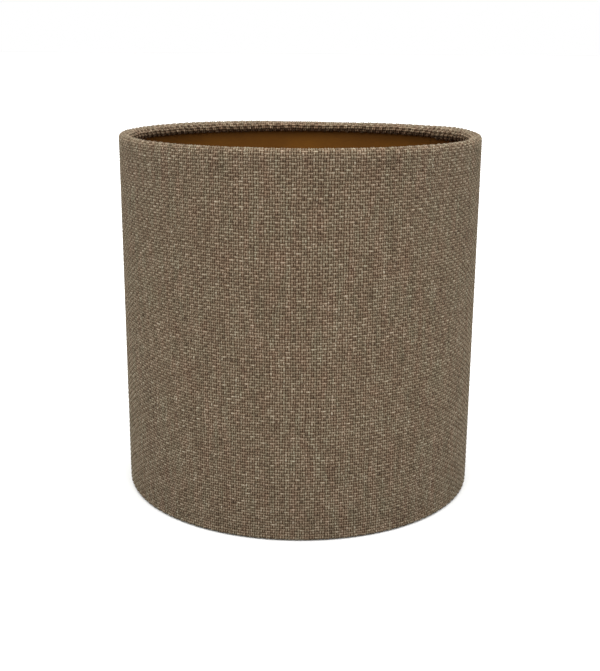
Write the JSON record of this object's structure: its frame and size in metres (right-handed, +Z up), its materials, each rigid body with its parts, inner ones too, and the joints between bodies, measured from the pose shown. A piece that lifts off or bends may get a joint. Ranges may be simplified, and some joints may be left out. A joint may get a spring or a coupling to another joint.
{
  "type": "lamp shade",
  "caption": "Straight drum lamp shade in coarse brown-grey woven cloth with rolled hems, a matt gold lining and a wire spider with a fitter ring in its base.",
  "frame": {"origin": "on the shade's axis, level with the underside of the bottom hem", "axes": "+Z up along the shade's axis; -Y towards the viewer; +X to the viewer's right; the side seam is 58.5 degrees from +Y towards +X"},
  "size_m": [0.2, 0.2, 0.2],
  "materials": {
    "cloth": "coarse brown-grey melange weave, matt",
    "clear_tape": "thin double-sided tape",
    "panel": "stiff plastic sheet, matt",
    "gold_film": "matt metallised gold film",
    "wire": "white powder coat on steel, satin"
  },
  "bodies": {
    "root": {"fabric_cover": "cloth", "cover_seam_tape": "clear_tape", "backing_panel": "panel", "gold_lining": "gold_film", "panel_joint_tape": "gold_film", "bottom_ring": "wire", "top_ring": "wire", "bottom_ring_tape": "clear_tape", "top_ring_tape": "clear_tape", "fitter_ring": "wire", "spider_arm_1": "wire", "spider_arm_2": "wire", "spider_arm_3": "wire", "spider_welds": "wire"}
  },
  "joints": []
}
